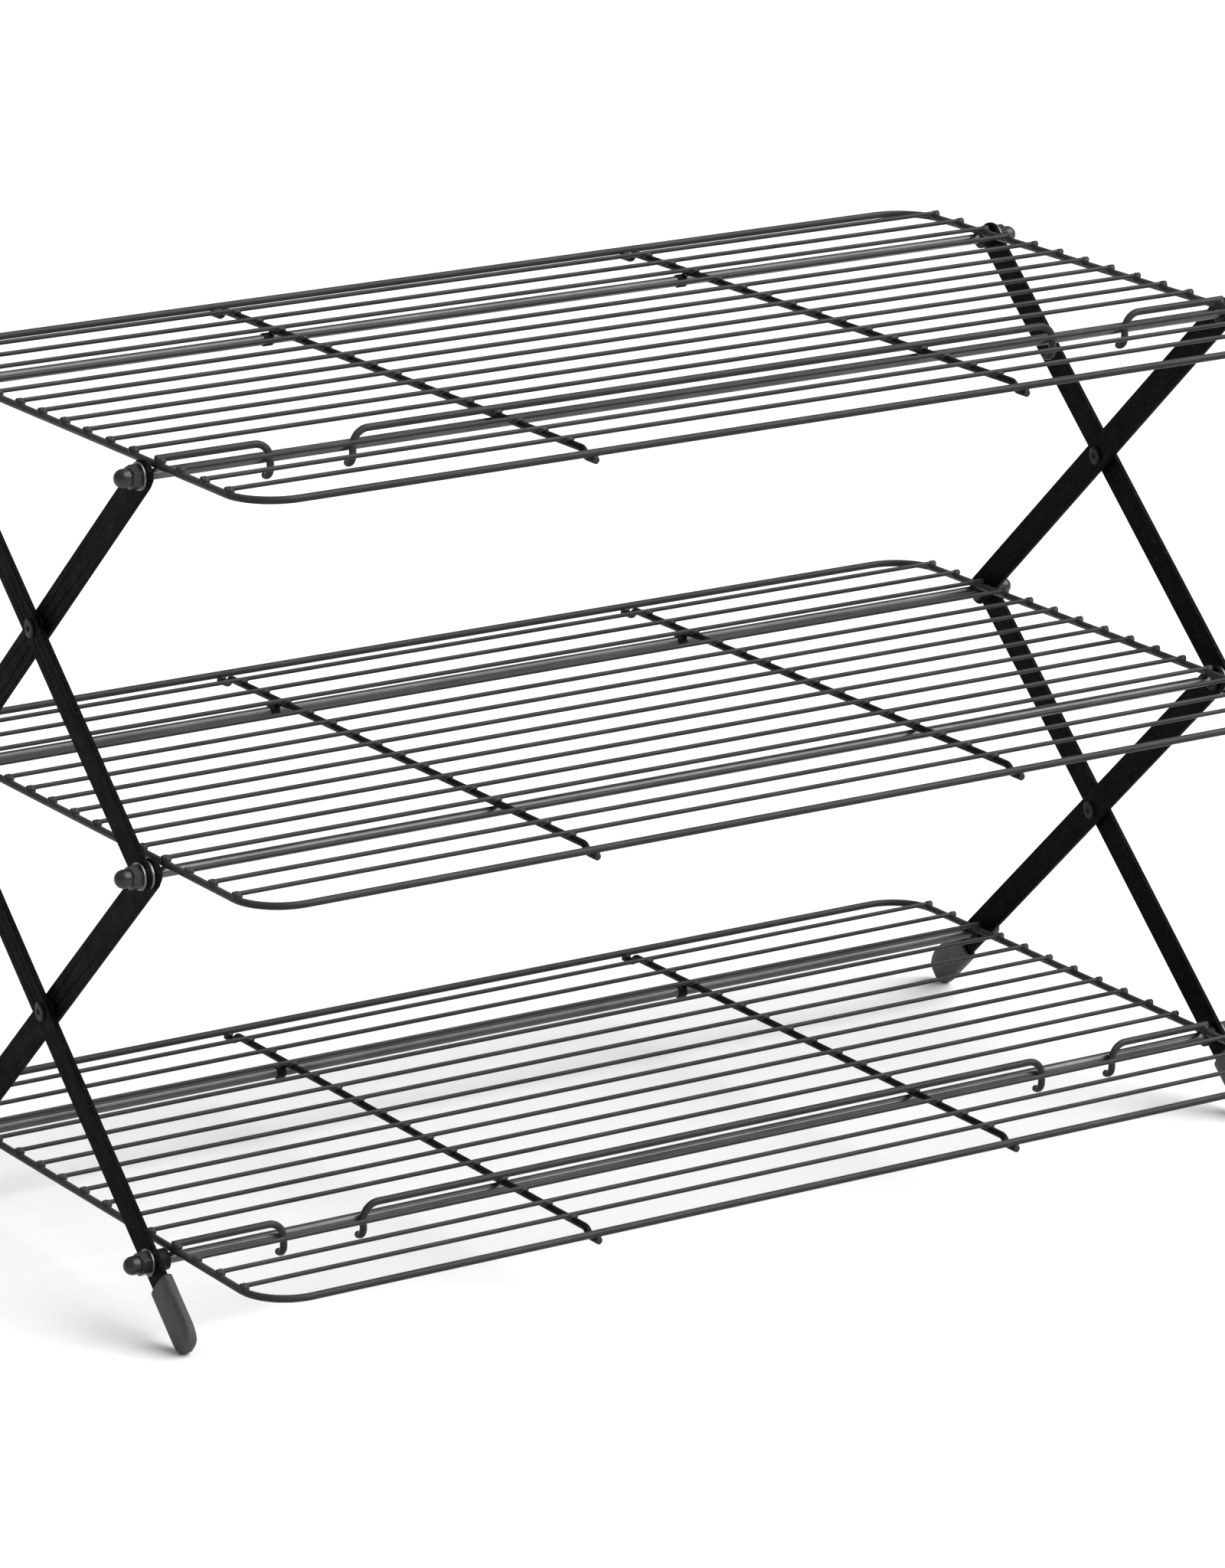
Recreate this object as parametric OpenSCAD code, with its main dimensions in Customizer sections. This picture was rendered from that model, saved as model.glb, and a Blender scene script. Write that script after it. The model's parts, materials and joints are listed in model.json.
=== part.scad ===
// Three-tier folding cooling rack: wire grids on rods, carried by two-stage scissor legs.
// X runs along the grids, -Y is the front (the hook side), +Z is up, Z = 0 is the floor.

/* [Tiers] */
// Height from one tier to the next
tier_rise = 126; // [90:1:150]
// Distance of the front rods in front of the grid centre
front_rod_y = 57.6; // [50:0.1:70]
// Distance of the back rods behind the grid centre
back_rod_y = 80; // [60:0.1:95]

/* [Grids] */
// Length of a long wire
wire_length = 400; // [300:1:480]
// Distance from one long wire to the next
wire_pitch = 14.8; // [10:0.1:20]
// Number of long wires in a grid
wire_count = 15; // [9:2:21]
// Diameter of a long wire
wire_d = 1.5; // [1:0.1:3]
// Diameter of the border, cross and hook wires
frame_d = 2.4; // [2:0.1:4]
// Distance of the border wire from one long side to the other
border_depth = 236.8; // [180:0.1:280]
// Distance of the border wire from one short side to the other
border_length = 398; // [300:1:480]
// Bend radius of the border corners
corner_r = 16; // [8:1:30]
// Distance of a cross wire from the middle
cross_x = 80; // [50:1:120]
// Depth that crossing wires sink into each other at a weld
weld_sink = 0.2; // [0.1:0.05:0.3]

/* [Hooks] */
// Distance of the outer hooks from the middle
outer_hook_x = 160.5; // [150:0.5:180]
// Distance of the inner hooks from the middle
inner_hook_x = 131.5; // [110:0.5:145]
// Radius of the curl of a hook around its rod
curl_r = 3.3; // [3.2:0.1:4]
// straight drop of a hook below its rod, before the curl
hook_drop = 2.4; // [0:0.1:4]

/* [Rods and nuts] */
// Diameter of a rod
rod_d = 3.5; // [3:0.1:6]
// Gap between a rod and the wires that lie over it
rest_gap = 0.3; // [0.1:0.05:0.5]
// Width of a nut across its flats
nut_width = 7; // [6:0.5:10]
// Height of the six-sided part of a nut
nut_hex = 3.2; // [2:0.1:5]
// Full height of a domed nut
nut_height = 8; // [6:0.1:10]
// Diameter of a washer
washer_d = 9; // [7:0.5:12]
// Diameter of a rod collar
collar_d = 7; // [5:0.5:10]

/* [Legs] */
// Width of a leg bar
leg_width = 10; // [8:0.5:16]
// Thickness of a leg bar
leg_t = 1.8; // [1:0.1:3]
// Inner face of the inner legs, from the middle
inner_face = 202; // [201.5:0.1:210]
// Gap between an inner and an outer leg
leg_gap = 1.2; // [0.6:0.1:2]
// Diameter of a rivet shank
rivet_d = 4; // [3:0.5:6]
// Diameter of a rivet head
rivet_head_d = 6.2; // [5:0.1:9]

/* [Feet] */
// Width of a foot sleeve
foot_width = 13; // [11:0.5:20]
// Thickness of a foot sleeve
foot_t = 4.6; // [4:0.1:8]
// Distance from the pivot to the start of a foot
foot_start = 8; // [6:0.5:12]
// Distance from the pivot to the tip of a foot
foot_tip = 32.5; // [25:0.5:50]

/* [Hidden] */
$fn = 64;
wire_r = wire_d / 2;
frame_r = frame_d / 2;
rod_r = rod_d / 2;
run_gap = 0.08;      // radial running clearance of a rod or rivet in a leg
snug_gap = 0.02;     // clearance of a nut, collar or washer on its own rod
face_gap = 0.1;      // clearance between the faces of neighbours that turn

// heights above a rod's axis
cross_z = rod_r + rest_gap + frame_r;
long_z = cross_z + frame_r + wire_r - weld_sink;
hook_z = cross_z + 2 * frame_r - weld_sink;
tuck_z = cross_z - 2 * frame_r + weld_sink;    // cross wire where it passes under the border

// leg planes, from the middle
inner_mid = inner_face + leg_t / 2;
outer_face = inner_face + leg_t + leg_gap;
outer_mid = outer_face + leg_t / 2;
outer_end = outer_face + leg_t;

// scissor geometry
reach = front_rod_y + back_rod_y;
leg_angle = atan2(tier_rise, reach);
leg_length = sqrt(reach * reach + tier_rise * tier_rise);
rivet_y = back_rod_y - reach / 2;
rod_height = (foot_tip - foot_width / 2) * sin(leg_angle) + foot_width / 2;

// rods and what is on them
washer_t = 0.75;
thin_washer_t = leg_gap - 0.3;       // washer between an inner and an outer leg
nut_dome_r = 3;
nut_chamfer = 0.5;
thread_in_nut = 5.5;
collar_gap = 0.5;                    // between a collar and the border wire
collar_start = border_length / 2 + frame_r + collar_gap;

// wires
bend_cos = 0.6;                      // both bends of a dip have a 3-4-5 slope
bend_sin = 0.8;
bend_angle = acos(bend_cos);
bend_r = (cross_z - tuck_z) / (2 * (1 - bend_cos));
tuck_length = 3.4;                   // straight part of a cross wire before the border's axis
tip_length = 1;                      // and after it
dip_end = border_depth / 2 - tuck_length;
dip_start = dip_end - 2 * bend_sin * bend_r;
cross_tip = border_depth / 2 + tip_length;
sleeve_length = 3;
sleeve_t = 0.4;
sleeve_sink = 0.8;                   // depth of a sleeve's weld in its cross wire

// rivets and feet
rivet_head_t = 0.7;
rivet_edge = 0.7;                    // width of the slope round a rivet head
dimple_r = 1.4;
dimple_depth = 0.5;
slot_gap = 0.1;                      // clearance of a leg in its foot
foot_wall = 4;                       // solid part at the tip of a foot

// tiers: 0 bottom, 1 middle, 2 top
function rod_z(tier) = rod_height + tier * tier_rise;

// ---------- small helpers ----------

// a cylinder along X from x0 to x1
module x_bar(x0, x1, r) {
  translate([x0, 0, 0]) rotate([0, 90, 0]) cylinder(r = r, h = x1 - x0);
}

// a ring along X from x0 to x1
module x_ring(x0, x1, r_out, r_in) {
  difference() {
    x_bar(x0, x1, r_out);
    x_bar(x0 - 1, x1 + 1, r_in);
  }
}

// the same shape on the right and, mirrored, on the left
module both_sides() {
  children();
  mirror([1, 0, 0]) children();
}

module side(right) {
  if (right) children();
  else mirror([1, 0, 0]) children();
}

// a cylinder along Y from y0 to y1
module y_bar(y0, y1, r) {
  translate([0, y0, 0]) rotate([-90, 0, 0]) cylinder(r = r, h = y1 - y0);
}

// a bent piece of wire in the YZ plane; angles run from +Y towards +Z
module yz_bend(bend_r, from, turn, r) {
  rotate([90, 0, 90]) rotate([0, 0, from])
    rotate_extrude(angle = turn) translate([bend_r, 0]) circle(r = r);
}

// ---------- grids (drawn with the rod axis height as Z = 0) ----------

module border_wire() {
  half_x = border_length / 2;
  half_y = border_depth / 2;
  straight_x = half_x - corner_r;
  straight_y = half_y - corner_r;
  translate([0, 0, cross_z]) {
    for (s = [-1, 1]) {
      translate([0, s * half_y, 0]) x_bar(-straight_x, straight_x, frame_r);
      translate([s * half_x, 0, 0]) y_bar(-straight_y, straight_y, frame_r);
    }
    for (turn = [0, 90, 180, 270]) {
      sx = (turn == 0 || turn == 270) ? 1 : -1;
      sy = (turn < 180) ? 1 : -1;
      translate([sx * straight_x, sy * straight_y, 0]) rotate([0, 0, turn])
        rotate_extrude(angle = 90) translate([corner_r, 0]) circle(r = frame_r);
    }
  }
}

// wire 0 is at the back; the hook wire's place is left out when skip is its number
hook_wire = 11;
function wire_y(i) = ((wire_count - 1) / 2 - i) * wire_pitch;

module long_wires(skip) {
  for (i = [0 : wire_count - 1])
    if (i != skip)
      translate([0, wire_y(i), long_z]) x_bar(-wire_length / 2, wire_length / 2, wire_r);
}

// a cross wire dips at both ends, in two bends of a 3-4-5 slope, to pass under the border
module cross_wires() {
  for (x = [-cross_x, cross_x])
    translate([x, 0, 0]) {
      translate([0, 0, cross_z]) y_bar(-dip_start, dip_start, frame_r);
      for (end = [0, 1]) mirror([0, end, 0]) {
        translate([0, dip_start, cross_z - bend_r])
          yz_bend(bend_r, 90 - bend_angle, bend_angle, frame_r);
        translate([0, dip_end, tuck_z + bend_r])
          yz_bend(bend_r, 270 - bend_angle, bend_angle, frame_r);
        translate([0, 0, tuck_z]) y_bar(dip_end, cross_tip, frame_r);
      }
    }
}

// a hook on a wire that arrives along +X: it turns down in front of its rod and curls under it
module hook_end() {
  translate([0, 0, -hook_z]) rotate([90, 0, 0])
    rotate_extrude(angle = 90) translate([hook_z, 0]) circle(r = frame_r);
  translate([hook_z, 0, -hook_z - hook_drop]) cylinder(r = frame_r, h = hook_drop);
  translate([hook_z, curl_r, -hook_z - hook_drop]) {
    yz_bend(curl_r, 180, 90, frame_r);
    translate([0, 0, -curl_r]) sphere(r = frame_r);
  }
}

// one thick long wire, cut by two gaps into three pieces with four hooks
module hook_wires() {
  outer_end_x = outer_hook_x + hook_z;
  inner_end_x = inner_hook_x - hook_z;
  translate([0, -front_rod_y - curl_r, hook_z]) {
    both_sides() {
      x_bar(outer_end_x, wire_length / 2, frame_r);
      translate([outer_end_x, 0, 0]) mirror([1, 0, 0]) hook_end();
      translate([inner_end_x, 0, 0]) hook_end();
    }
    x_bar(-inner_end_x, inner_end_x, frame_r);
  }
}

// short sleeves welded to the cross wires, which turn on the back rod
module hinge_sleeves() {
  bore_r = rod_r + run_gap;
  for (x = [-cross_x, cross_x])
    translate([x - frame_r + sleeve_sink, back_rod_y, 0])
      x_ring(-sleeve_length, 0, bore_r + sleeve_t, bore_r);
}

module at_tier(tier) {
  translate([0, 0, rod_z(tier)]) children();
}

// ---------- rods and what is on them ----------

module at_rod(tier, front) {
  translate([0, front ? -front_rod_y : back_rod_y, rod_z(tier)]) children();
}

// which legs share a rod: the outer ones, the inner ones, or both
function has_inner(tier, front) = !(tier == 0 && front) && !(tier == 2 && !front);
function has_outer(tier, front) = !(tier == 2 && front) && !(tier == 0 && !front);

function stack_end(tier, front) = has_outer(tier, front) ? outer_end : inner_face + leg_t;
function nut_x(tier, front) = stack_end(tier, front) + face_gap + washer_t;
function collar_end(tier, front) =
  (has_inner(tier, front) ? inner_face : outer_face) - 2 * face_gap;

module rod(tier, front) {
  half = nut_x(tier, front) + thread_in_nut;
  at_rod(tier, front) x_bar(-half, half, rod_r);
}

module domed_nut() {
  corner = nut_width / 2 / cos(30);
  dome_start = nut_height - nut_dome_r;
  difference() {
    rotate([0, 90, 0]) union() {
      intersection() {
        cylinder(r = corner, h = nut_hex, $fn = 6);
        union() {
          cylinder(r = corner, h = nut_hex - nut_chamfer);
          translate([0, 0, nut_hex - nut_chamfer])
            cylinder(r1 = corner, r2 = corner - nut_chamfer, h = nut_chamfer);
        }
      }
      cylinder(r = nut_dome_r, h = dome_start);
      translate([0, 0, dome_start]) sphere(r = nut_dome_r);
    }
    x_bar(-1, thread_in_nut + nut_chamfer, rod_r + snug_gap);
  }
}

module nuts(tier, front) {
  at_rod(tier, front) both_sides() translate([nut_x(tier, front), 0, 0]) domed_nut();
}

module washers(tier, front) {
  outside = stack_end(tier, front) + face_gap;
  between = outer_face - (leg_gap + thin_washer_t) / 2;
  at_rod(tier, front) both_sides() {
    x_ring(outside, outside + washer_t, washer_d / 2, rod_r + snug_gap);
    if (has_inner(tier, front) && has_outer(tier, front))
      x_ring(between, between + thin_washer_t, washer_d / 2, rod_r + snug_gap);
  }
}

module collars(tier, front) {
  at_rod(tier, front) both_sides()
    x_ring(collar_start, collar_end(tier, front), collar_d / 2, rod_r + snug_gap);
}

// ---------- legs (drawn along +Y from the lower pivot at the origin) ----------

module leg_bar(tail) {
  tail_end = tail ? foot_tip - foot_wall : 0;
  difference() {
    union() {
      translate([-leg_t / 2, -tail_end, -leg_width / 2])
        cube([leg_t, leg_length + tail_end, leg_width]);
      x_bar(-leg_t / 2, leg_t / 2, leg_width / 2);
      translate([0, leg_length, 0]) x_bar(-leg_t / 2, leg_t / 2, leg_width / 2);
    }
    for (y = [0, leg_length])
      translate([0, y, 0]) x_bar(-leg_t, leg_t, rod_r + run_gap);
    translate([0, leg_length / 2, 0]) x_bar(-leg_t, leg_t, rivet_d / 2 + run_gap);
  }
}

// inner legs rise from the back rod of a tier, outer legs from its front rod
module at_inner_leg(tier) {
  translate([inner_mid, back_rod_y, rod_z(tier)]) rotate([180 - leg_angle, 0, 0]) children();
}

module at_outer_leg(tier) {
  translate([outer_mid, -front_rod_y, rod_z(tier)]) rotate([leg_angle, 0, 0]) children();
}

// a flattened sleeve with rolled edges and a round end, pushed over the end of a lower leg
module foot() {
  edge_r = foot_t / 2;
  flat = foot_width - foot_t;
  length = foot_tip - foot_start;
  end_r = foot_width / 2;
  slot_length = length - foot_wall + slot_gap;
  difference() {
    intersection() {
      translate([0, -foot_tip, 0]) {
        for (s = [-1, 1]) translate([0, 0, s * flat / 2]) y_bar(0, length, edge_r);
        translate([-edge_r, 0, -flat / 2]) cube([foot_t, length, flat]);
      }
      union() {
        translate([0, end_r - foot_tip, 0]) x_bar(-foot_t, foot_t, end_r);
        translate([-foot_t, end_r - foot_tip, -foot_width / 2])
          cube([2 * foot_t, foot_tip - end_r, foot_width]);
      }
    }
    translate([-leg_t / 2 - slot_gap, -foot_start - slot_length, -leg_width / 2 - slot_gap])
      cube([leg_t + 2 * slot_gap, slot_length + 1, leg_width + 2 * slot_gap]);
  }
}

// ---------- rivets ----------

module at_rivet(tier) {
  translate([0, rivet_y, rod_z(tier) + tier_rise / 2]) children();
}

module rivet_head() {
  head_r = rivet_head_d / 2;
  half_t = rivet_head_t / 2;
  difference() {
    union() {
      x_bar(0, half_t, head_r);
      translate([half_t, 0, 0]) rotate([0, 90, 0])
        cylinder(r1 = head_r, r2 = head_r - rivet_edge, h = half_t);
    }
    translate([rivet_head_t - dimple_depth + dimple_r, 0, 0]) sphere(r = dimple_r);
  }
}

module rivet() {
  x_bar(inner_face - face_gap, outer_end + face_gap, rivet_d / 2);
  translate([outer_end + face_gap, 0, 0]) rivet_head();
  translate([inner_face - face_gap, 0, 0]) mirror([1, 0, 0]) rivet_head();
}

module rivet_washers(tier) {
  between = outer_face - (leg_gap + thin_washer_t) / 2;
  at_rivet(tier) both_sides()
    x_ring(between, between + thin_washer_t, washer_d / 2 - 0.5, rivet_d / 2 + snug_gap);
}

// ---------- colours ----------

module wire_colour() { color([0.20, 0.20, 0.21]) children(); }
module leg_colour() { color([0.08, 0.08, 0.08]) children(); }
module nut_colour() { color([0.30, 0.30, 0.31]) children(); }
module foot_colour() { color([0.42, 0.42, 0.43]) children(); }

// ---------- nodes ----------

module top_border_wire() { wire_colour() at_tier(2) border_wire(); }
module top_long_wires() { wire_colour() at_tier(2) long_wires(hook_wire); }
module top_cross_wires() { wire_colour() at_tier(2) cross_wires(); }
module top_hook_wires() { wire_colour() at_tier(2) hook_wires(); }
module top_hinge_sleeves() { wire_colour() at_tier(2) hinge_sleeves(); }
module middle_border_wire() { wire_colour() at_tier(1) border_wire(); }
module middle_long_wires() { wire_colour() at_tier(1) long_wires(-1); }
module middle_cross_wires() { wire_colour() at_tier(1) cross_wires(); }
module middle_hinge_sleeves() { wire_colour() at_tier(1) hinge_sleeves(); }
module bottom_border_wire() { wire_colour() at_tier(0) border_wire(); }
module bottom_long_wires() { wire_colour() at_tier(0) long_wires(hook_wire); }
module bottom_cross_wires() { wire_colour() at_tier(0) cross_wires(); }
module bottom_hook_wires() { wire_colour() at_tier(0) hook_wires(); }
module bottom_hinge_sleeves() { wire_colour() at_tier(0) hinge_sleeves(); }

module top_back_rod() { nut_colour() rod(2, false); }
module top_back_nuts() { nut_colour() nuts(2, false); }
module top_back_washers() { nut_colour() washers(2, false); }
module top_back_collars() { leg_colour() collars(2, false); }
module top_front_rod() { nut_colour() rod(2, true); }
module top_front_nuts() { nut_colour() nuts(2, true); }
module top_front_washers() { nut_colour() washers(2, true); }
module top_front_collars() { leg_colour() collars(2, true); }
module middle_back_rod() { nut_colour() rod(1, false); }
module middle_back_nuts() { nut_colour() nuts(1, false); }
module middle_back_washers() { nut_colour() washers(1, false); }
module middle_back_collars() { leg_colour() collars(1, false); }
module middle_front_rod() { nut_colour() rod(1, true); }
module middle_front_nuts() { nut_colour() nuts(1, true); }
module middle_front_washers() { nut_colour() washers(1, true); }
module middle_front_collars() { leg_colour() collars(1, true); }
module bottom_back_rod() { nut_colour() rod(0, false); }
module bottom_back_nuts() { nut_colour() nuts(0, false); }
module bottom_back_washers() { nut_colour() washers(0, false); }
module bottom_back_collars() { leg_colour() collars(0, false); }
module bottom_front_rod() { nut_colour() rod(0, true); }
module bottom_front_nuts() { nut_colour() nuts(0, true); }
module bottom_front_washers() { nut_colour() washers(0, true); }
module bottom_front_collars() { leg_colour() collars(0, true); }

module upper_outer_leg_left() { leg_colour() side(false) at_outer_leg(1) leg_bar(false); }
module upper_outer_leg_right() { leg_colour() side(true) at_outer_leg(1) leg_bar(false); }
module upper_inner_leg_left() { leg_colour() side(false) at_inner_leg(1) leg_bar(false); }
module upper_inner_leg_right() { leg_colour() side(true) at_inner_leg(1) leg_bar(false); }
module lower_outer_leg_left() { leg_colour() side(false) at_outer_leg(0) leg_bar(true); }
module lower_outer_leg_right() { leg_colour() side(true) at_outer_leg(0) leg_bar(true); }
module lower_inner_leg_left() { leg_colour() side(false) at_inner_leg(0) leg_bar(true); }
module lower_inner_leg_right() { leg_colour() side(true) at_inner_leg(0) leg_bar(true); }

module upper_rivet_left() { leg_colour() side(false) at_rivet(1) rivet(); }
module upper_rivet_right() { leg_colour() side(true) at_rivet(1) rivet(); }
module lower_rivet_left() { leg_colour() side(false) at_rivet(0) rivet(); }
module lower_rivet_right() { leg_colour() side(true) at_rivet(0) rivet(); }
module upper_rivet_washers() { nut_colour() rivet_washers(1); }
module lower_rivet_washers() { nut_colour() rivet_washers(0); }

module front_foot_left() { foot_colour() side(false) at_outer_leg(0) foot(); }
module front_foot_right() { foot_colour() side(true) at_outer_leg(0) foot(); }
module back_foot_left() { foot_colour() side(false) at_inner_leg(0) foot(); }
module back_foot_right() { foot_colour() side(true) at_inner_leg(0) foot(); }

top_border_wire();
top_long_wires();
top_cross_wires();
top_hook_wires();
top_hinge_sleeves();
middle_border_wire();
middle_long_wires();
middle_cross_wires();
middle_hinge_sleeves();
bottom_border_wire();
bottom_long_wires();
bottom_cross_wires();
bottom_hook_wires();
bottom_hinge_sleeves();
top_back_rod();
top_back_nuts();
top_back_washers();
top_back_collars();
top_front_rod();
top_front_nuts();
top_front_washers();
top_front_collars();
middle_back_rod();
middle_back_nuts();
middle_back_washers();
middle_back_collars();
middle_front_rod();
middle_front_nuts();
middle_front_washers();
middle_front_collars();
bottom_back_rod();
bottom_back_nuts();
bottom_back_washers();
bottom_back_collars();
bottom_front_rod();
bottom_front_nuts();
bottom_front_washers();
bottom_front_collars();
upper_outer_leg_left();
upper_outer_leg_right();
upper_inner_leg_left();
upper_inner_leg_right();
lower_outer_leg_left();
lower_outer_leg_right();
lower_inner_leg_left();
lower_inner_leg_right();
upper_rivet_left();
upper_rivet_right();
lower_rivet_left();
lower_rivet_right();
upper_rivet_washers();
lower_rivet_washers();
front_foot_left();
front_foot_right();
back_foot_left();
back_foot_right();
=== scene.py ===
"""Looks, floor, lights and camera for the folding cooling rack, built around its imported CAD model."""
import json
import math
import random

import bmesh
import bpy
from mathutils import Matrix, Vector, noise


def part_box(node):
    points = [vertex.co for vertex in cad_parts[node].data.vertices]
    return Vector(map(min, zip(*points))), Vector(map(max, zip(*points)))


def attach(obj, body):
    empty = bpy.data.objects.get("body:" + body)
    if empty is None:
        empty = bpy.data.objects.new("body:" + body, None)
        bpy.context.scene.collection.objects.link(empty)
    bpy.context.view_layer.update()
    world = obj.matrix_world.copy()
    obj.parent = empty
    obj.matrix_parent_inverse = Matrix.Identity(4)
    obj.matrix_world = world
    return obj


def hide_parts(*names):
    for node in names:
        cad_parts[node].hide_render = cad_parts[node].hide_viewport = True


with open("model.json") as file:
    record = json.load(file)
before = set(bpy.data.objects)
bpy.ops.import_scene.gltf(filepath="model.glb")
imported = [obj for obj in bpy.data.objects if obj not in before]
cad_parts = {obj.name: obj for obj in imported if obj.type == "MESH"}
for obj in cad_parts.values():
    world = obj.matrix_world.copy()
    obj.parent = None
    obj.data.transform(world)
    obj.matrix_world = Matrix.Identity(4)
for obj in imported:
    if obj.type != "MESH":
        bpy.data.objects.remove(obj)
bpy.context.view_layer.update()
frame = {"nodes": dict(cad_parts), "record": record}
MM = 0.001

# ---------- sizes shared with the CAD source, in millimetres ----------
TIERS = ("bottom", "middle", "top")
FRONT_ROD_Y, BACK_ROD_Y, TIER_RISE = -57.6, 80.0, 126.0
PITCH, WIRE_COUNT, HOOK_WIRE, HOOK_WIRE_Y = 14.8, 15, 11, -60.9
BORDER_X, BORDER_Y, CROSS_X, WIRE_END = 199.0, 118.4, 80.0, 200.0
WELD_Z, TUCK_WELD_Z = 4.35, 2.15          # heights of the welds above a rod's axis
WIRE_END_Z, CROSS_TIP_Z = 4.9, 1.05       # and of the ends of the long and the cross wires
INNER_MID, OUTER_MID = 202.9, 205.9       # middles of the two leg planes
LEG_ANGLE = math.atan2(TIER_RISE, BACK_ROD_Y - FRONT_ROD_Y)
FOOT_START, FOOT_TIP, FOOT_W, FOOT_T = 8.0, 32.5, 13.0, 4.6

# ---------- sizes of the finer details, in millimetres ----------
# radii along X, Y and Z; the first two are also scaled by the bead's own width
BORDER_BEAD, CROSS_BEAD, WIRE_END_DRIP = (1.65, 1.4, 1.6), (1.95, 1.2, 1.1), (0.9, 0.9, 0.85)
TUCK_BEAD, CROSS_TIP_DRIP = (1.6, 1.5, 0.8), (1.2, 0.2, 1.2)
THIN_WIRE_BEAD, HOOK_WIRE_BEAD = (1.25, 0.0), (1.7, 0.3)      # width, and how much higher it sits
BEAD_INSET, DRIP_INSET, TIP_OUTSET = 0.4, 0.5, 1.0
BEAD_SPREAD = (0.92, 1.1)                 # smallest and largest bead, times the mean
# how far each ring of a foot's mouth is from its edge, and its half width and half thickness
FOOT_BORE = ((3.0, 5.12, 1.02), (0.35, 5.15, 1.05))
FOOT_LIP = ((0.0, 0.75), (0.0, 0.45), (0.25, 0.12), (0.7, 0.0))   # from the edge, under the skin
FOOT_SHAKE, SHAKE_SCALE = 0.012, (0.5, 0.22, 0.35)
# node names that contain this get rounded edges of this width, in this many steps
EDGE_ROUNDING = (("_leg_", 0.35, 3), ("_collars", 0.4, 3), ("_washers", 0.12, 2), ("_nuts", 0.18, 2))
ROD_Z = {t: (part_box(t + "_back_rod")[0].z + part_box(t + "_back_rod")[1].z) / 2 / MM for t in TIERS}


# ---------- materials ----------

class Nodes:
    """A short way to build one node material."""

    def __init__(self, name):
        self.mat = bpy.data.materials.new(name)
        self.mat.use_nodes = True
        self.tree = self.mat.node_tree
        self.shader = self.tree.nodes["Principled BSDF"]
        self.coords = self.tree.nodes.new("ShaderNodeTexCoord").outputs["Object"]

    def link(self, a, b):
        self.tree.links.new(a, b)

    def stretched(self, scale):
        node = self.tree.nodes.new("ShaderNodeMapping")
        node.inputs["Scale"].default_value = scale
        self.link(self.coords, node.inputs["Vector"])
        return node.outputs["Vector"]

    def noise(self, scale, detail=3.0, rough=0.5, vector=None):
        node = self.tree.nodes.new("ShaderNodeTexNoise")
        node.inputs["Scale"].default_value = scale
        node.inputs["Detail"].default_value = detail
        node.inputs["Roughness"].default_value = rough
        self.link(vector or self.coords, node.inputs["Vector"])
        return node.outputs["Fac"]

    def upward(self):
        """How far a surface faces up, from -1 to 1."""
        node = self.tree.nodes.new("ShaderNodeSeparateXYZ")
        self.link(self.tree.nodes.new("ShaderNodeTexCoord").outputs["Normal"], node.inputs["Vector"])
        return node.outputs["Z"]

    def ramp(self, fac, stops):
        node = self.tree.nodes.new("ShaderNodeValToRGB")
        elements = node.color_ramp.elements
        while len(elements) < len(stops):
            elements.new(0.5)
        for element, (at, colour) in zip(elements, stops):
            element.position = at
            element.color = (*colour, 1.0)
        self.link(fac, node.inputs["Fac"])
        return node.outputs["Color"]

    def span(self, fac, low, high, a, b):
        node = self.tree.nodes.new("ShaderNodeMapRange")
        for name, value in zip(("From Min", "From Max", "To Min", "To Max"), (low, high, a, b)):
            node.inputs[name].default_value = value
        self.link(fac, node.inputs["Value"])
        return node.outputs["Result"]

    def mix(self, fac, a, b):
        node = self.tree.nodes.new("ShaderNodeMix")
        node.data_type = "RGBA"
        self.link(fac, node.inputs["Factor"])
        for socket, value in ((node.inputs[6], a), (node.inputs[7], b)):
            if isinstance(value, tuple):
                socket.default_value = (*value, 1.0)
            else:
                self.link(value, socket)
        return node.outputs[2]

    def bump(self, height, strength, distance, below=None):
        node = self.tree.nodes.new("ShaderNodeBump")
        node.inputs["Strength"].default_value = strength
        node.inputs["Distance"].default_value = distance
        self.link(height, node.inputs["Height"])
        if below is not None:
            self.link(below, node.inputs["Normal"])
        return node.outputs["Normal"]

    def finish(self, colour, rough, normal, **fixed):
        self.link(colour, self.shader.inputs["Base Color"])
        self.link(rough, self.shader.inputs["Roughness"])
        self.link(normal, self.shader.inputs["Normal"])
        for name, value in fixed.items():
            self.shader.inputs[name.replace("_", " ")].default_value = value
        return self.mat


def grey(value, warm=0.0):
    return (value * (1 + warm), value, value * (1 - warm))


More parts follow.
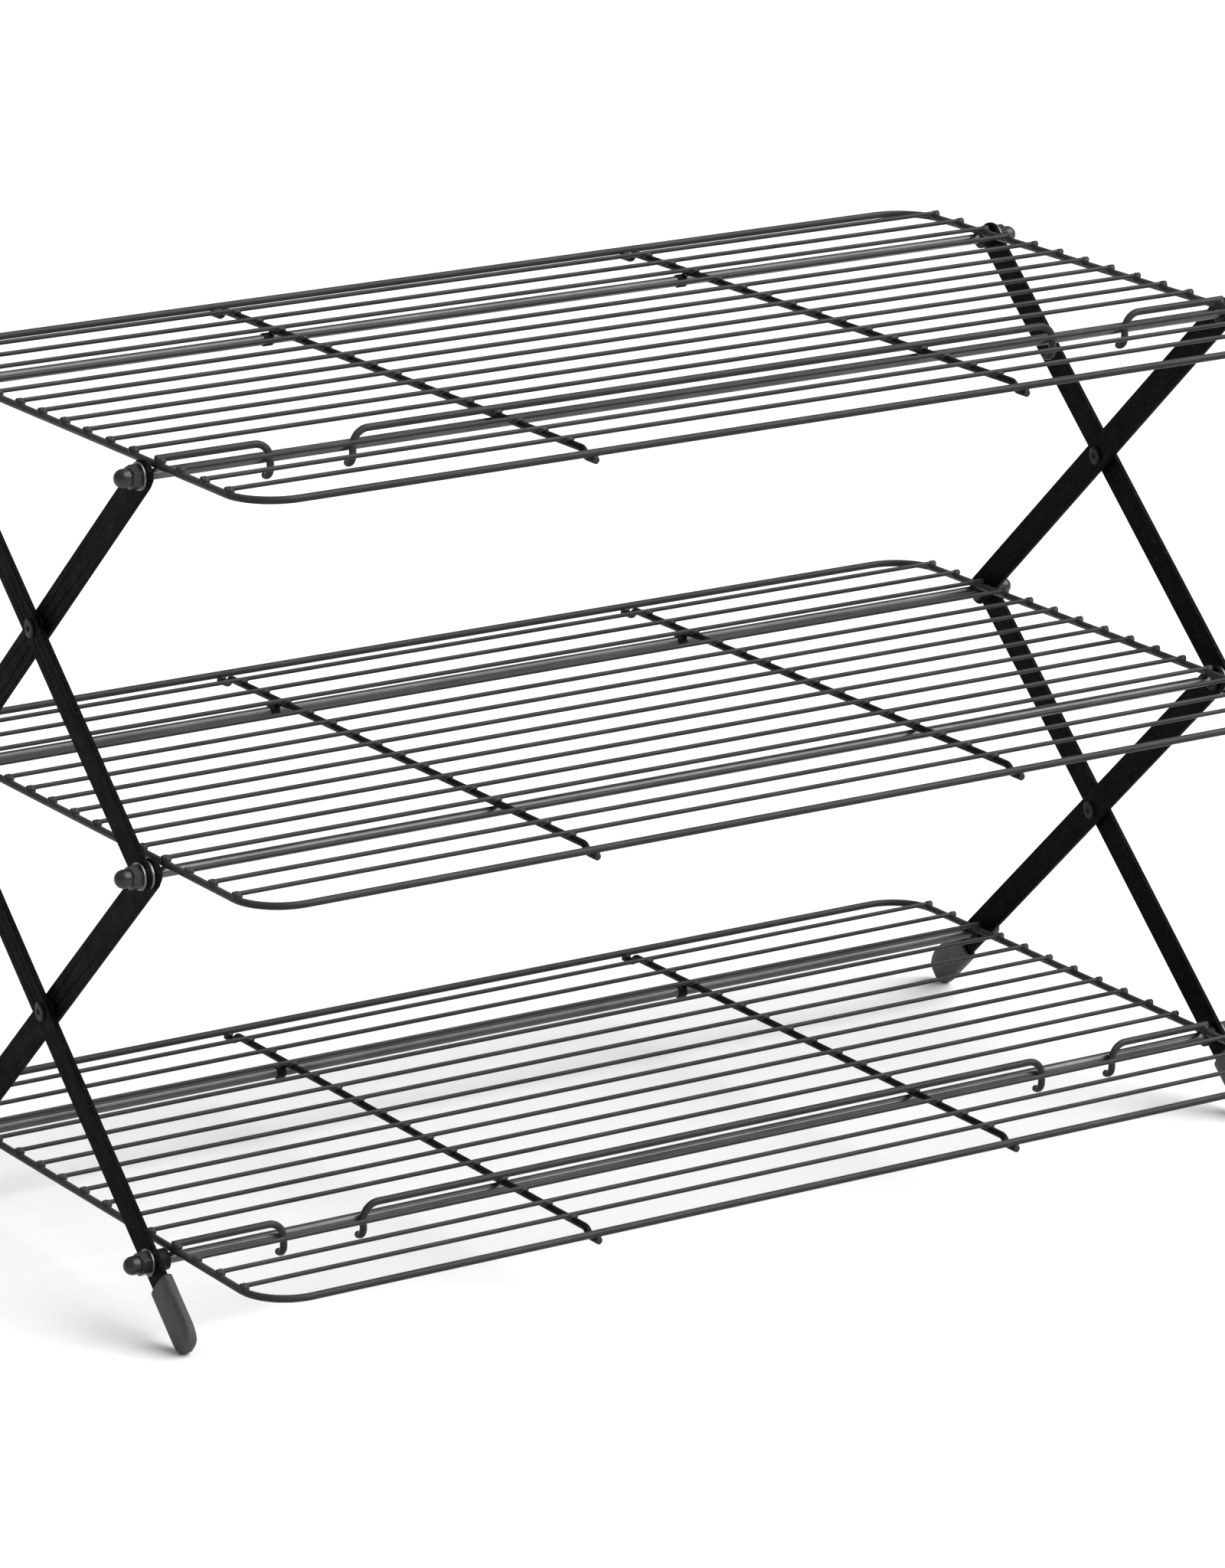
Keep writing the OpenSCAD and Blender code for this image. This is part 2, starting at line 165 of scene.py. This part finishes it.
def coating(name, dark, light, rough, specular, speckle=900.0, depth=0.00003, painted_underside_shade=1.0,
            fleck=(420.0, 0.66, 1.9)):
    """Baked-on coating over steel: a fine orange peel, cloudy tone and gloss, small rubbed specks,
    and undersides painted darker than the upper faces: painted shade, as if lit from above.
    fleck is the scale, the threshold and the brightness of the specks."""
    n = Nodes(name)
    cloud = n.noise(38.0, 4.0, 0.6)
    tone = n.ramp(cloud, [(0.32, grey(dark)), (0.68, grey(light))])
    fleck_scale, fleck_from, fleck_light = fleck
    rubbed = n.span(n.noise(fleck_scale, 5.0, 0.7), fleck_from, fleck_from + 0.08, 0.0, 0.55)
    colour = n.mix(rubbed, tone, grey(light * fleck_light))
    # painted shade: faces that point down are mixed towards a darker grey than faces that point up
    if painted_underside_shade != 1.0:
        colour = n.mix(n.span(n.upward(), -0.5, 0.9, 1.0, 0.0), colour, grey(light / painted_underside_shade))
    gloss = n.span(n.noise(160.0, 3.0), 0.3, 0.7, rough - 0.07, rough + 0.09)
    peel = n.bump(n.noise(speckle, 2.0), 0.35, depth)
    normal = n.bump(n.noise(speckle * 3.1, 2.0), 0.2, depth * 0.5, peel)
    return n.finish(colour, gloss, normal, Specular_IOR_Level=specular)


def drawn_steel(name, dark, light, rough, metallic):
    """Coated or plated bar stock with fine lines along X."""
    n = Nodes(name)
    lines = n.noise(1.0, 4.0, 0.6, n.stretched((18.0, 2600.0, 2600.0)))
    cloud = n.noise(55.0, 3.0, 0.6)
    tone = n.ramp(cloud, [(0.3, grey(dark)), (0.7, grey(light))])
    colour = n.mix(n.span(lines, 0.45, 0.75, 0.0, 0.4), tone, grey(light * 1.7))
    gloss = n.span(lines, 0.3, 0.7, rough - 0.06, rough + 0.1)
    normal = n.bump(lines, 0.25, 0.00002)
    return n.finish(colour, gloss, normal, Metallic=metallic, Specular_IOR_Level=0.5)


def dipped_plastic(name, dark, light):
    """Soft plastic sleeve with pull lines along its length and a dusty, uneven surface."""
    n = Nodes(name)
    pull = n.noise(1.0, 4.0, 0.65, n.stretched((900.0, 900.0, 150.0)))
    dust = n.noise(260.0, 5.0, 0.65)
    tone = n.ramp(pull, [(0.3, grey(dark)), (0.7, grey(light))])
    colour = n.mix(n.span(dust, 0.5, 0.8, 0.0, 0.5), tone, grey(light * 1.35))
    gloss = n.span(dust, 0.3, 0.7, 0.5, 0.72)
    normal = n.bump(dust, 0.3, 0.00004, n.bump(pull, 0.45, 0.00006))
    return n.finish(colour, gloss, normal, Specular_IOR_Level=0.4)


MATERIALS = {
    # the wire coating's undersides carry painted shade, three times darker than its light tone
    "wire_coat": coating("wire_coating", 0.026, 0.044, 0.34, 0.10, painted_underside_shade=3.0),
    "leg_coat": coating("leg_coating", 0.0024, 0.0042, 0.5, 0.015, 700.0, fleck=(900.0, 0.56, 6.0)),
    "collar_coat": coating("collar_coating", 0.003, 0.006, 0.45, 0.12),
    "plated_steel": drawn_steel("dark_steel", 0.028, 0.062, 0.27, 0.40),
    "foot_cap": dipped_plastic("foot_plastic", 0.029, 0.050),
}
NUT_COAT = coating("nut_coating", 0.010, 0.020, 0.28, 0.30)
RIVET_COAT = coating("rivet_coating", 0.003, 0.006, 0.34, 0.10)
# painted shade: the cross wires and hinge sleeves get a coat far darker than the long wires' coat,
# standing in for the shade they sit in
SHADED_CROSS_COAT = coating("cross_wire_painted_shade", 0.004, 0.008, 0.42, 0.06, painted_underside_shade=2.0)
WASHER_STEEL = drawn_steel("washer_steel", 0.07, 0.13, 0.38, 0.8)
# nodes whose look differs a little from the rest of their slot; for the cross wires and hinge sleeves
# the difference is painted shade
OWN_LOOKS = (("_nuts", NUT_COAT), ("_rivet_left", RIVET_COAT), ("_rivet_right", RIVET_COAT),
             ("_washers", WASHER_STEEL), ("_cross_wires", SHADED_CROSS_COAT), ("_hinge_sleeves", SHADED_CROSS_COAT))
SLOT_OF = {s["node"]: s["material_slot"] for s in frame["record"]["subparts"]}


def dress(obj, slot):
    obj.data.materials.clear()
    obj.data.materials.append(MATERIALS[slot])


for name, obj in frame["nodes"].items():
    dress(obj, SLOT_OF[name])
    for ending, look in OWN_LOOKS:
        if name.endswith(ending):
            obj.data.materials[0] = look


def soften_edges(name, width, segments):
    """Rounds the sharp edges of a CAD node with modifiers, so that they catch the light."""
    obj = frame["nodes"][name]
    weld = obj.modifiers.new("join", "WELD")
    weld.merge_threshold = 1e-6
    bevel = obj.modifiers.new("edges", "BEVEL")
    bevel.limit_method, bevel.angle_limit = "ANGLE", math.radians(35)
    bevel.width, bevel.segments = width * MM, segments
    bevel.use_clamp_overlap = True
    obj.modifiers.new("normals", "WEIGHTED_NORMAL").keep_sharp = False


for name in frame["nodes"]:
    for part, width, segments in EDGE_ROUNDING:
        if part in name:
            soften_edges(name, width, segments)


# ---------- mesh pieces ----------

def add_mesh(name, bm, body, slot):
    mesh = bpy.data.meshes.new(name)
    bm.to_mesh(mesh)
    bm.free()
    for face in mesh.polygons:
        face.use_smooth = True
    obj = bpy.data.objects.new(name, mesh)
    bpy.context.scene.collection.objects.link(obj)
    dress(obj, slot)
    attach(obj, body)
    return obj


def add_ball(bm, centre, radii, segments=12, rings=7):
    where = Matrix.Translation(Vector(centre) * MM) @ Matrix.Diagonal((*[r * MM for r in radii], 1.0))
    bmesh.ops.create_uvsphere(bm, u_segments=segments, v_segments=rings, radius=1.0, matrix=where)


def weld_beads(tier, seed):
    """Weld fillets at every crossing, and the rounded drips of coating on the wire ends."""
    rng = random.Random(seed)
    bm = bmesh.new()
    z = ROD_Z[tier]

    def scaled(radii, wide, grow):
        return radii[0] * grow, wide * radii[1] * grow, radii[2]

    for i in range(WIRE_COUNT):
        y = ((WIRE_COUNT - 1) / 2 - i) * PITCH
        wide, top = THIN_WIRE_BEAD
        if tier != "middle" and i == HOOK_WIRE:
            y, (wide, top) = HOOK_WIRE_Y, HOOK_WIRE_BEAD
        for side in (-1, 1):
            grow = rng.uniform(*BEAD_SPREAD)
            add_ball(bm, (side * (BORDER_X - BEAD_INSET), y, z + WELD_Z + top),
                     scaled(BORDER_BEAD, wide, grow))
            add_ball(bm, (side * (WIRE_END - DRIP_INSET), y, z + WIRE_END_Z + top),
                     (WIRE_END_DRIP[0], wide * WIRE_END_DRIP[1], wide * WIRE_END_DRIP[2]))
            add_ball(bm, (side * CROSS_X, y, z + WELD_Z), scaled(CROSS_BEAD, wide, grow))
    for side in (-1, 1):
        for end in (-1, 1):
            add_ball(bm, (side * CROSS_X, end * (BORDER_Y - BEAD_INSET), z + TUCK_WELD_Z), TUCK_BEAD)
            add_ball(bm, (side * CROSS_X, end * (BORDER_Y + TIP_OUTSET), z + CROSS_TIP_Z),
                     CROSS_TIP_DRIP)
    add_mesh(tier + "_weld_beads", bm, tier + "_grid", "wire_coat")


for index, tier in enumerate(TIERS):
    weld_beads(tier, 11 + index)


def rounded(half, rest, least=0.01):
    """Half the width at a distance of rest before a round tip, for a bar of the given half width."""
    if rest > half:
        return half
    return math.sqrt(max(half ** 2 - (half - rest) ** 2, least))


def foot_cap(name, side, inner, body):
    """A dipped plastic cap: an oval sleeve with a rolled mouth, round tip and slightly uneven skin."""
    rings, around, power = 34, 40, 3.2
    ease, tip_gap = 1.6, 0.05             # rings crowd towards the tip and stop just before it
    length, half_w, half_t = FOOT_TIP - FOOT_START, FOOT_W / 2, FOOT_T / 2
    bm = bmesh.new()
    sections = []

    def section(along, w, t):
        verts = []
        for k in range(around):
            a = 2 * math.pi * k / around
            c, s = math.cos(a), math.sin(a)
            x = t * math.copysign(abs(c) ** (2 / power), c)
            z = w * math.copysign(abs(s) ** (2 / power), s)
            spot = (x * SHAKE_SCALE[0], along * SHAKE_SCALE[1], z * SHAKE_SCALE[2] + side * 7)
            shake = 1 + FOOT_SHAKE * noise.noise(Vector(spot))
            verts.append(bm.verts.new((x * shake, -along, z * shake)))
        sections.append(verts)

    for inwards, w, t in FOOT_BORE:
        section(FOOT_START + inwards, w, t)
    for inwards, under in FOOT_LIP:
        section(FOOT_START + inwards, half_w - under, half_t - under)
    lip = FOOT_LIP[-1][0]
    for k in range(1, rings + 1):
        along = FOOT_START + lip + (length - lip - tip_gap) * (1 - (1 - k / rings) ** ease)
        section(along, rounded(half_w, FOOT_TIP - along), rounded(half_t, FOOT_TIP - along))
    for a, b in zip(sections, sections[1:]):
        for k in range(around):
            bm.faces.new((a[k], a[(k + 1) % around], b[(k + 1) % around], b[k]))
    bm.faces.new(sections[-1])
    angle = math.pi - LEG_ANGLE if inner else LEG_ANGLE
    y, x = (BACK_ROD_Y, INNER_MID) if inner else (FRONT_ROD_Y, OUTER_MID)
    place = Matrix.Translation((x, y, ROD_Z["bottom"])) @ Matrix.Rotation(angle, 4, "X")
    bmesh.ops.transform(bm, matrix=Matrix.Diagonal((side * MM, MM, MM, 1.0)) @ place, verts=bm.verts)
    bmesh.ops.recalc_face_normals(bm, faces=bm.faces)
    obj = add_mesh(name, bm, body, "foot_cap")
    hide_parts(name.replace("_cap", ""))


for word, side in (("left", -1), ("right", 1)):
    foot_cap("front_foot_cap_" + word, side, False, "lower_outer_legs")
    foot_cap("back_foot_cap_" + word, side, True, "lower_inner_legs")


# ---------- floor, lights and camera ----------

def add_floor():
    bpy.ops.mesh.primitive_grid_add(x_subdivisions=8, y_subdivisions=8, size=60.0)
    floor = bpy.context.object
    floor.name = "floor"
    n = Nodes("studio_floor")
    cloud = n.noise(2.5, 3.0)
    n.finish(n.ramp(cloud, [(0.3, grey(0.86)), (0.7, grey(0.88))]), n.span(cloud, 0.3, 0.7, 0.7, 0.8),
             n.bump(n.noise(400.0), 0.05, 0.0001), Specular_IOR_Level=0.1)
    floor.data.materials.append(n.mat)


def add_sun(name, azimuth, elevation, spread, strength):
    """A broad, far light: azimuth from the front (-Y) towards +X, both angles in degrees."""
    data = bpy.data.lights.new(name, "SUN")
    data.energy, data.angle = strength, math.radians(spread)
    lamp = bpy.data.objects.new(name, data)
    a, e = math.radians(azimuth), math.radians(elevation)
    towards = Vector((math.sin(a) * math.cos(e), -math.cos(a) * math.cos(e), math.sin(e)))
    lamp.rotation_mode = "QUATERNION"
    lamp.rotation_quaternion = towards.to_track_quat("Z", "Y")
    bpy.context.scene.collection.objects.link(lamp)


def add_camera():
    azimuth, elevation, roll = (math.radians(v) for v in (-32.104, 16.607, -0.185))
    distance, aside, lifted = 2.37884, 0.000262, 0.011811
    focal_px, long_side_px = 9449.46, 2048
    back = Vector((math.sin(azimuth) * math.cos(elevation),
                   -math.cos(azimuth) * math.cos(elevation), math.sin(elevation)))
    level = Vector((math.cos(azimuth), math.sin(azimuth), 0))
    upward = back.cross(level)
    right = level * math.cos(roll) + upward * math.sin(roll)
    up = upward * math.cos(roll) - level * math.sin(roll)
    data = bpy.data.cameras.new("camera")
    data.sensor_width = 36.0
    data.lens = data.sensor_width * focal_px / long_side_px
    data.clip_start, data.clip_end = 0.01, 200.0
    camera = bpy.data.objects.new("camera", data)
    turn = Matrix((right, up, back)).transposed().to_4x4()
    aim = Vector((0, 0, 0.119393))
    spot = aim + back * distance + right * aside + up * lifted
    camera.matrix_world = Matrix.Translation(spot) @ turn
    bpy.context.scene.collection.objects.link(camera)
    bpy.context.scene.camera = camera


add_floor()
world = bpy.data.worlds.new("studio")
world.use_nodes = True
world.node_tree.nodes["Background"].inputs["Color"].default_value = (1.0, 1.0, 1.0, 1.0)
world.node_tree.nodes["Background"].inputs["Strength"].default_value = 0.42
bpy.context.scene.world = world
add_sun("key", azimuth=48, elevation=46, spread=60, strength=4.9)
add_camera()
bpy.context.scene.view_settings.view_transform = "Standard"
